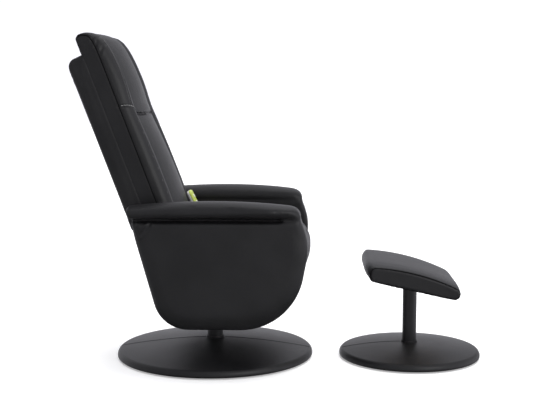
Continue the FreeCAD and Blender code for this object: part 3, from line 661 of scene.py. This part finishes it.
def tucked_arm(points, sign):
    x, y, z = points.T.copy()
    out = ramp(y * sign, ARM_TUCK_FROM, ARM_TUCK_FULL)
    under = ramp(z, ARM_WIDEST, GROOVE_HIGH) ** ARM_TUCK_EASE
    slot = ramp(z, GROOVE_LOW, GROOVE_MIDDLE)
    rear = ARM_REAR_TUCK + (1 - ARM_REAR_TUCK) * ramp(x, ARM_REAR, 0)
    front = ramp(x, ARM_TUCK_END, ARM_TUCK_FADE)
    points[:, 1] -= sign * ARM_TUCK * out * under * slot * rear * front
    low = ramp(z, ARM_REAR_HIGH, GROOVE_HIGH)
    points[:, 0] += ARM_REAR_CUT * low * slot * ramp(x, ARM_CUT_FROM, ARM_CUT_FULL)
    return points


def groove_bar(sign):
    y = sorted((sign * (PANEL_OUTER - GROOVE_DEPTH), sign * (PANEL_OUTER + BAR_OUTSIDE)))
    bar = block("groove_bar", ((GROOVE_REAR, GROOVE_END), y, (GROOVE_LOW, GROOVE_HIGH)), GROOVE_ROUND, 2)
    taper_from = GROOVE_END - GROOVE_TAPER
    edited(bar, bpy.ops.mesh.bisect, plane_co=(taper_from, 0, 0), plane_no=(1, 0, 0))
    points = points_of(bar)
    ahead = ramp(points[:, 0], taper_from, GROOVE_END)
    points[:, 2] = GROOVE_MIDDLE + (points[:, 2] - GROOVE_MIDDLE) * (1 - GROOVE_POINT * ahead)
    set_points(bar, points)
    return bar


def padded_side(side, sign):
    panel = side + "_side_panel"
    arm = side + "_armrest"
    piece = joined(copied(panel, side + "_side"), copied(arm, side + "_arm"))
    remeshed(piece, voxel=0.004)
    bar = groove_bar(sign)
    finished_with(piece, "BOOLEAN", object=bar, operation="DIFFERENCE", solver="EXACT")
    bpy.data.objects.remove(bar)
    set_points(piece, tucked_arm(rolled_edges(points_of(piece), sign), sign))
    padding(piece, side_held, voxel=0.0047, inset=-0.0015, pressure=2.0, cap=0.003, smooth=5)
    return dressed(piece, seat_leather, "black_leather", "seat", panel, arm, fill=0.8)


sides = {side: padded_side(side, sign) for side, sign in SIDES}
print("sides:", [p.name for p in sides.values()])

# %% [markdown]
# The seat cushion is a thick foam block in a leather bag, full at the front, where it stands out
# between the arms. Its underside, rear and sides are glued or pressed and stay as they are. The
# front is drawn in towards both arms, so that its middle is the fullest.

# %% Seat cushion
DECK_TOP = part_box("seat_deck")[1].z
DECK_GRIP = 0.005
SEAT_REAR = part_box("seat_cushion")[0].x
SEAT_REAR_GRIP = 0.006
SEAT_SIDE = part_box("seat_cushion")[1].y
SEAT_SIDE_GRIP = 0.004
SEAT_MIDDLE = 0.10
SEAT_DRAW = 0.009
SEAT_DRAW_FROM = 0.20
SEAT_DRAW_FULL = 0.28
SEAT_TOP_EDGE = 0.03
SHIN_TOP = 0.35
SHIN_DRAW = 1.7


def seat_held(points):
    x, y, z = points.T
    pressed = np.abs(y) > SEAT_SIDE - SEAT_SIDE_GRIP
    return (z < DECK_TOP + DECK_GRIP) | (x < SEAT_REAR + SEAT_REAR_GRIP) | pressed


def drawn_in(points):
    x, y, z = points.T.copy()
    outer = ramp(np.abs(y), SEAT_MIDDLE, SEAT_SIDE) ** 2
    draw = SEAT_DRAW * outer * ramp(x, SEAT_DRAW_FROM, SEAT_DRAW_FULL)
    points[:, 0] -= draw * np.where(z < SHIN_TOP, SHIN_DRAW, 1.0)
    points[:, 2] -= draw * (z > DECK_TOP + SEAT_TOP_EDGE)
    return points


seat_pad = copied("seat_cushion", "seat_pad")
remeshed(seat_pad, voxel=0.005)
set_points(seat_pad, drawn_in(points_of(seat_pad)))
padding(seat_pad, seat_held, inset=0.002, cap=0.006, smooth=5)
dressed(seat_pad, seat_leather, "black_leather", "seat", "seat_cushion", fill=0.75)

# %% [markdown]
# The back leans, so it is easier to think in its own frame: x forward out of the cushion, z up
# along it, both from the recline pivot. Two helpers go from there to the model and back.

# %% The back's own frame
BACK_LEAN = math.radians(20.65)
PIVOT = next(j["pos_m"] for j in frame["joints"] if j["name"] == "back_recline")
lean = Matrix.Translation(PIVOT) @ Matrix.Rotation(-BACK_LEAN, 4, "Y")
upright = lean.inverted()
FORWARD = lean.to_3x3() @ Vector((1, 0, 0))
ALONG = lean.to_3x3() @ Vector((0, 0, 1))


def leaned(points):
    return [lean @ Vector(p) for p in points]


def in_frame(points, inverse):
    turn = np.array(inverse.to_3x3())
    return points @ turn.T + np.array(inverse.translation)


print("pivot:", PIVOT, "lean in degrees:", round(math.degrees(BACK_LEAN), 2))

# %% [markdown]
# The back cushion and the head cushion are one boxed pad: a flat side band, then a piped edge,
# then a narrow bolster down each side of a full middle. It is stuffed with its sewn lines held:
# the piping, the bowed seam under the head, and the valleys beside the middle. Afterwards the
# head is pushed out over its seam, and its top is sloped.

# %% Back pad
BACK_HALF = (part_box("back_cushion")[1].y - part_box("back_cushion")[0].y) / 2
BACK_GLUED = 0.008
BOX_EDGE = 0.051
BAND_GRIP = 0.006
BAND_LAP = 0.008
FRONT_FROM = 0.06
BOLSTER_WIDE = 0.062
VALLEY = BACK_HALF - BOLSTER_WIDE
VALLEY_GRIP = 0.006
HEAD_SEAM = 0.349
HEAD_SEAM_RISE = 0.035
HEAD_SEAM_GRIP = 0.004
OVERHANG_HIGH = 0.045
OVERHANG_HALF = 0.20
OVERHANG_OUT = 0.007
OVERHANG_DOWN = 0.006
HEAD_REAR = 0.01
HEAD_FRONT = 0.08
HEAD_SLOPE = 0.016
HEAD_SLOPE_FROM = 0.555
HEAD_SLOPE_FULL = 0.605


def head_seam(y):
    return HEAD_SEAM + HEAD_SEAM_RISE * (y / BACK_HALF) ** 4


def back_held(points):
    x, y, z = in_frame(points, upright).T
    y = np.abs(y)
    held = (x < BACK_GLUED) | ((np.abs(z - head_seam(y)) < HEAD_SEAM_GRIP) & (x > BOX_EDGE))
    held |= (y > BACK_HALF - BAND_GRIP) & (x < BOX_EDGE + BAND_LAP)
    held |= (np.abs(y - VALLEY) < VALLEY_GRIP) & (x > FRONT_FROM)
    return held


def head_overhang(points):
    x, y, z = in_frame(points, upright).T
    above = (z - head_seam(y)) / OVERHANG_HIGH
    full = ramp(np.abs(y), OVERHANG_HALF, 0) ** 0.5 * (x > FRONT_FROM)
    push = np.where((above > 0) & (above < 1), (1 - above) ** 2, 0.0) * full
    slope = ramp(z, HEAD_SLOPE_FROM, HEAD_SLOPE_FULL) * ramp(x, HEAD_REAR, HEAD_FRONT)
    out = np.outer(OVERHANG_OUT * push, FORWARD)
    down = np.outer(OVERHANG_DOWN * push + HEAD_SLOPE * slope, ALONG)
    return points + out - down


back_pad = joined(copied("back_cushion", "back_pad"), copied("head_cushion", "head_part"))
padding(back_pad, back_held, voxel=0.0056, inset=0.0005, pressure=3.0, cap=0.006, smooth=4)
set_points(back_pad, head_overhang(points_of(back_pad)))
dressed(back_pad, seat_leather, "black_leather", "backrest", "back_cushion", "head_cushion", fill=0.8)

# %% [markdown]
# Behind the cushion a padded cover is stretched over the frame of the back. It starts as a box
# with rounded edges, is stuffed lightly, and keeps its front edge, which is tucked into the
# cushion. Its top rear corner is rounded far more than its other edges.

# %% Rear cover of the back
SHELL_REAR = -0.052
SHELL_FRONT = 0.016
SHELL_LOW = 0.018
SHELL_TOP = 0.565
SHELL_HALF = BACK_HALF - 0.001
SHELL_BEVEL = 0.013
SHELL_CORNER = 0.036
SHELL_GRIP = -0.010


def shell_held(points):
    return in_frame(points, upright)[:, 0] > SHELL_GRIP


def corner_rounded(points):
    x, y, z = in_frame(points, upright).T
    over_x = np.maximum(SHELL_REAR + SHELL_CORNER - x, 0)
    over_z = np.maximum(z - SHELL_TOP + SHELL_CORNER, 0)
    reach = np.hypot(over_x, over_z)
    spare = np.maximum(reach - SHELL_CORNER, 0) / np.maximum(reach, TINY)
    return points + np.outer(over_x * spare, FORWARD) - np.outer(over_z * spare, ALONG)


shell_spans = ((SHELL_REAR, SHELL_FRONT), (-SHELL_HALF, SHELL_HALF), (SHELL_LOW, SHELL_TOP))
rear_cover = block("back_rear_cover", shell_spans, SHELL_BEVEL, 4, lean)
padding(rear_cover, shell_held, voxel=0.006, inset=-0.0005, pressure=2.0, cap=0.004, smooth=4)
set_points(rear_cover, corner_rounded(points_of(rear_cover)))
dressed(rear_cover, seat_leather, "black_leather", "backrest", "back_shell", fill=0.6)

# %% [markdown]
# When the back reclines, its foot lifts off the seat and would leave a slot to look through. A strip
# of lining closes it, held behind the seat cushion and under the back. It crosses the recline joint.

# %% Lining between seat and back
LINING_X = -0.131
LINING_LOW = 0.372
LINING_HIGH = 0.438
LINING_WIDE = 0.400
LINING_THICK = 0.0016
LINING_SLACK = 0.004
LINING_WAVE = 0.05
LINING_WAVE_SHARE = 0.2

lining = added(bpy.ops.mesh.primitive_grid_add, "seat_back_lining", x_subdivisions=16, y_subdivisions=48,
               size=1, rotation=(0, math.pi / 2, 0), scale=(LINING_HIGH - LINING_LOW, LINING_WIDE, 1),
               location=(LINING_X, 0, (LINING_LOW + LINING_HIGH) / 2))
points = points_of(lining)
belly = np.sin(math.pi * (points[:, 2] - LINING_LOW) / (LINING_HIGH - LINING_LOW))
waves = 1 + LINING_WAVE_SHARE * np.sin(points[:, 1] * 2 * math.pi / LINING_WAVE)
points[:, 0] -= LINING_SLACK * belly * waves
set_points(lining, points)
finished_with(lining, "SOLIDIFY", thickness=LINING_THICK, offset=0)
subdivided(lining)
lining.data.materials.append(slot_finish["lining"])
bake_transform(lining)
print("lining:", lining.name, "points", len(lining.data.vertices))

# %% [markdown]
# The footstool's pad is a wedge-like cushion: the top panel runs over both long edges, and flat
# panels close its ends. It has its own tilted frame, from the top of the column. Under both ends
# the cover is turned under and makes a small lip.

# %% Footstool pad
STOOL_X = 0.617
STOOL_TOP = 0.2444
STOOL_TILT = math.radians(12.3)
STOOL_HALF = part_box("stool_cushion")[1].y
STOOL_GLUED = 0.006
STOOL_END_GRIP = 0.006
STOOL_HEEL = -0.138
STOOL_TOE = 0.118
STOOL_LIP = 0.005
LIP_HIGH = 0.022
LIP_FROM = STOOL_HALF - 0.03
LIP_FULL = STOOL_HALF - 0.01

tilt = Matrix.Translation((STOOL_X, 0, STOOL_TOP)) @ Matrix.Rotation(STOOL_TILT, 4, "Y")
level = tilt.inverted()
STOOL_UP = tilt.to_3x3() @ Vector((0, 0, 1))


def stool_held(points):
    x, y, z = in_frame(points, level).T
    ends = np.abs(y) > STOOL_HALF - STOOL_END_GRIP
    return (z < STOOL_GLUED) | ends | (x < STOOL_HEEL) | (x > STOOL_TOE)


def lipped(points):
    x, y, z = in_frame(points, level).T
    turned_under = STOOL_LIP * ramp(z, LIP_HIGH, 0) * ramp(np.abs(y), LIP_FROM, LIP_FULL)
    return points - np.outer(turned_under, STOOL_UP)


stool_pad = copied("stool_cushion", "stool_pad")
padding(stool_pad, stool_held, voxel=0.0045, inset=0.0005, pressure=1.5, cap=0.003, smooth=4)
set_points(stool_pad, lipped(points_of(stool_pad)))
dressed(stool_pad, seat_leather, "black_leather", "footstool", "stool_cushion", fill=0.75)

# %% [markdown]
# Piping is a cord in a folded strip of leather, caught in the seam where two panels meet. It is
# a thin tube that follows the skin, near black and almost matt, which is painted shade along the
# seam. On the back it runs up the edge of the side band and over the top of the head. On the
# footstool it runs round each flat end panel.

# %% Piping
PIPING = 0.0016
PIPING_DIP = {"width": 0.003, "depth": 0.0012}
BACK_PIPING_LINE = ((BOX_EDGE, -0.015), (BOX_EDGE, 0.560), (BOX_EDGE - 0.002, 0.590),
                    (0.042, 0.612), (0.020, 0.624), (0.004, 0.622))
BACK_PIPING_STEP = 0.006
BACK_PIPING_OUT = 0.010
RING_POINTS = 120
RING_INSET = 0.0035
RING_MIDDLE_X = -0.005
RING_MIDDLE_Z = 0.018
RING_OUTSIDE = 0.4


def back_edge(sign):
    y = sign * (BACK_HALF + BACK_PIPING_OUT)
    corners = [(x, y, z) for x, z in BACK_PIPING_LINE]
    return nearest_on(back_pad, leaned(along(corners, BACK_PIPING_STEP)))


def stool_edge(sign):
    middle = Vector((RING_MIDDLE_X, sign * (STOOL_HALF - RING_INSET), RING_MIDDLE_Z))
    ring = []
    for i in range(RING_POINTS):
        angle = 2 * math.pi * i / RING_POINTS
        ray = Vector((math.cos(angle), 0, math.sin(angle)))
        ring += dropped_on(stool_pad, [tilt @ (middle + ray * RING_OUTSIDE)], tilt.to_3x3() @ -ray)
    return ring


for side, sign in SIDES:
    edge = back_edge(sign)
    sewn(back_pad, [edge], **PIPING_DIP)
    tube(side + "_back_piping", edge, PIPING, piping_and_seam_shade_leather, "black_leather", "backrest")
    ring = stool_edge(sign)
    sewn(stool_pad, [ring], **PIPING_DIP)
    tube(side + "_stool_piping", ring, PIPING, piping_and_seam_shade_leather, "black_leather", "footstool", closed=True)

# %% [markdown]
# Thread shows where a seam is topstitched. One stitch is modelled once, a short thread with rounded
# ends, then repeated along a curve that lies on the skin, and the repeats are applied.

# %% Thread
STITCH_SIDES = 8
STITCH_ROUND = 0.6
TWIST_SCALE = 900.0
TWIST_DARK = 0.7


def thread(name, path, length, gap, thick, finish):
    guide = line_through(name + "_line", path)
    piece = added(bpy.ops.mesh.primitive_cylinder_add, name, vertices=STITCH_SIDES, radius=thick,
                  depth=length, rotation=(0, math.pi / 2, 0), location=(length / 2, 0, 0))
    edited(piece, bpy.ops.mesh.bevel, offset=thick * STITCH_ROUND, segments=2)
    finished_with(piece, "ARRAY", fit_type="FIT_CURVE", curve=guide, use_relative_offset=False,
                  use_constant_offset=True, constant_offset_displace=(length + gap, 0, 0))
    finished_with(piece, "CURVE", object=guide, deform_axis="POS_X")
    bpy.data.objects.remove(guide)
    smoothed(piece)
    return dressed(piece, finish, "black_leather", "backrest")


def spun_thread(name, colour):
    finish, tree, shader, place = new_finish(name, Roughness=0.6)
    twist = place.node("TexWave", {"Vector": place, "Scale": TWIST_SCALE, "Distortion": 2.0})
    dark = tuple(c * TWIST_DARK for c in colour)
    feed(tree, tones(twist, dark, colour), shader, "Base Color")
    feed(tree, bumped(twist, 0.4, 0.0002), shader, "Normal")
    return finish


pale_thread = spun_thread("pale_thread", (0.42, 0.42, 0.42))
# The grey thread is partly painted highlight: it lies on the crest seams, and its grey draws the light line and
# specks of the crests' highlights.
crest_highlight_thread = spun_thread("crest_highlight_thread", (0.17, 0.17, 0.175))
print("threads:", pale_thread.name, crest_highlight_thread.name)

# %% [markdown]
# On the back, a seam runs up the crest of each bolster. At the head it dips and shows grey thread,
# and lower down it shows only as single tacks. That grey is painted highlight on a real seam: it
# draws the light line and the light specks along the crests. A bright row follows the head seam over
# the outside of both bolsters, and the middle of that seam is a dip under the overhanging head.

# %% Seams of the back
CREST = 0.187
HEAD_TOP = 0.602
HEAD_DRAW = 0.020
OUTSIDE = 0.30
HEAD_SEAM_STEPS = 60
TACKS_LOW = 0.02
TACKS_HIGH = 0.33
BESIDE_SEAM = 0.002


def on_back(corners):
    outside = leaned(along([(OUTSIDE, y, z) for y, z in corners]))
    return dropped_on(back_pad, outside, -FORWARD)


def on_head_seam(y0, y1, lift):
    spots = [y0 + (y1 - y0) * i / HEAD_SEAM_STEPS for i in range(HEAD_SEAM_STEPS + 1)]
    return on_back([(y, head_seam(y) + lift) for y in spots])


def on_crest(sign, low, high, shift=0.0):
    bend = head_seam(CREST)
    top = CREST - HEAD_DRAW * max(0.0, high - bend) / (HEAD_TOP - bend)
    return on_back([(sign * (CREST - shift), low), (sign * (top - shift), high)])


shallow = [on_crest(sign, head_seam(CREST), HEAD_TOP) for side, sign in SIDES]
shallow += [on_head_seam(sign * (BACK_HALF - 0.001), sign * VALLEY, lift=0.001) for side, sign in SIDES]
sewn(back_pad, shallow, width=0.0035, depth=0.0016)
sewn(back_pad, [on_head_seam(-VALLEY, VALLEY, lift=-0.004)], width=0.006, depth=0.004, lip=0.1)
# The grey head and tack threads on each crest are painted highlight on the crest seam.
for side, sign in SIDES:
    crest = on_crest(sign, head_seam(CREST), HEAD_TOP - 0.002, BESIDE_SEAM)
    thread(side + "_head_highlight_thread", crest, length=0.0048, gap=0.0012, thick=0.0006, finish=crest_highlight_thread)
    crest = on_crest(sign, TACKS_LOW, TACKS_HIGH, BESIDE_SEAM)
    thread(side + "_tack_highlight_thread", crest, length=0.0060, gap=0.0320, thick=0.0007, finish=crest_highlight_thread)
    cross = on_head_seam(sign * (BACK_HALF - 0.002), sign * (CREST - 0.010), lift=0.003)
    thread(side + "_cross_thread", cross, length=0.006, gap=0.0015, thick=0.0009, finish=pale_thread)
print("seams on the back:", len(shallow) + 1)

# %% [markdown]
# Covers wrinkle where they are gathered: at the top corners of the head, where the piping turns,
# and at the foot of the back, which presses on the seat. A wrinkle is a short, shallow seam.
# At the top rear corner of each side panel the cover is folded in and makes a small triangle.

# %% Wrinkles and folds
WRINKLES = (((0.050, 0.215, 0.572), (0.066, 0.200, 0.592), (0.074, 0.180, 0.600)),
            ((0.044, 0.215, 0.588), (0.058, 0.200, 0.606), (0.060, 0.176, 0.615)),
            ((0.054, 0.215, 0.548), (0.074, 0.205, 0.566), (0.086, 0.190, 0.572)),
            ((0.056, 0.215, 0.072), (0.070, 0.205, 0.050), (0.092, 0.190, 0.042)),
            ((0.060, 0.215, 0.040), (0.080, 0.205, 0.030), (0.100, 0.180, 0.034)))
PANEL_FOLD = ((-0.206, 0.462), (-0.191, 0.424), (-0.161, 0.456))
BESIDE_PANEL = 0.40


def wrinkle(corners, sign):
    return nearest_on(back_pad, leaned(along([(x, sign * y, z) for x, y, z in corners])))


for side, sign in SIDES:
    sewn(back_pad, [wrinkle(corners, sign) for corners in WRINKLES], width=0.0035, depth=0.0008, lip=0.5)
    outside = along([(x, sign * BESIDE_PANEL, z) for x, z in PANEL_FOLD])
    fold = dropped_on(sides[side], outside, (0, -sign, 0))
    sewn(sides[side], [fold], width=0.004, depth=0.0022, lip=0.5)
print("wrinkles on each side of the back:", len(WRINKLES))

# %% [markdown]
# The round bases are covered in the same leather, stretched over a dome and turned under at the
# rim. Each cover is a profile spun about the column. On the chair's disc a seam runs from the
# column to the rim at the front and at the rear, and on the footstool's only at the rear. Each seam
# is a thin near-black tube sunk into the cover: a real seam, drawn dark as painted shade.

# %% Disc covers
SPIN_STEPS = 144
SPIN_MERGE = 0.00002
DOME_STEPS = 14
DOME_RISE = 0.005
RIM_STEPS = 7
RIM_ROLL = 0.014
RIM_TOP = 0.0262
RIM_WIDEST = 0.0090
RIM_TURN = 0.0050
RIM_TURN_IN = 0.001
RIM_FOOT = 0.0030
RIM_FOOT_IN = 0.004
RIM_LAP = 0.020
SEAM_RADIUS = 0.0011
SEAM_SINK = 0.0004
SEAM_STEP = 0.006
SEAM_GAP = 0.006
SEAM_SHORT = 0.004
ABOVE_DISC = 0.2
SEAM_ENDS = {"front": 1, "rear": -1}


def disc_profile(radius, column, apex):
    rim = radius - RIM_ROLL
    profile = []
    for i in range(DOME_STEPS + 1):
        share = i / DOME_STEPS
        bulge = DOME_RISE * 4 * share * (1 - share)
        z = RIM_TOP + (apex - RIM_TOP) * (1 - share) + bulge
        profile.append((column + (rim - column) * share, z))
    for i in range(1, RIM_STEPS + 1):
        angle = math.pi / 2 * (1 - i / RIM_STEPS)
        z = RIM_WIDEST + (RIM_TOP - RIM_WIDEST) * math.sin(angle)
        profile.append((rim + RIM_ROLL * math.cos(angle), z))
    turn = (radius - RIM_TURN_IN, RIM_TURN)
    foot = (radius - RIM_FOOT_IN, RIM_FOOT)
    return profile + [turn, foot, (rim - RIM_LAP, RIM_FOOT)]


def spun_cover(name, profile, x):
    r, z = profile[0]
    piece = added(bpy.ops.mesh.primitive_plane_add, name, size=0.001, location=(r, 0, z))
    bpy.ops.object.mode_set(mode="EDIT")
    bpy.ops.mesh.select_all(action="SELECT")
    bpy.ops.mesh.merge(type="CENTER")
    for (r0, z0), (r1, z1) in zip(profile, profile[1:]):
        bpy.ops.mesh.extrude_region_move(TRANSFORM_OT_translate={"value": (r1 - r0, 0, z1 - z0)})
    bpy.ops.mesh.select_all(action="SELECT")
    bpy.ops.mesh.spin(steps=SPIN_STEPS, angle=2 * math.pi, center=(0, 0, 0), axis=(0, 0, 1))
    bpy.ops.mesh.select_all(action="SELECT")
    bpy.ops.mesh.remove_doubles(threshold=SPIN_MERGE)
    bpy.ops.mesh.normals_make_consistent(inside=False)
    bpy.ops.object.mode_set(mode="OBJECT")
    piece.data.transform(Matrix.Translation((x, 0, 0)))
    subdivided(piece)
    return piece


def covered_disc(word, body, x, radius, column, apex, ends):
    cover = spun_cover(word + "_disc_cover", disc_profile(radius, column, apex), x)
    dressed(cover, disc_leather, "base_leather", body, word + "_cover")
    for end in ends:
        reach = (column + SEAM_GAP, radius - SEAM_SHORT)
        line = along([(x + SEAM_ENDS[end] * r, 0, ABOVE_DISC) for r in reach], SEAM_STEP)
        seam = [p - Vector((0, 0, SEAM_SINK)) for p in dropped_on(cover, line, (0, 0, -1))]
        tube(word + "_" + end + "_seam", seam, SEAM_RADIUS, piping_and_seam_shade_leather, "base_leather", body)
    print("disc cover:", cover.name, "seams", len(ends))


covered_disc("base", "base", x=0.0, radius=0.310, column=0.0245, apex=0.057, ends=("front", "rear"))
covered_disc("stool_base", "footstool", x=STOOL_X, radius=0.222, column=0.022, apex=0.046, ends=("rear",))
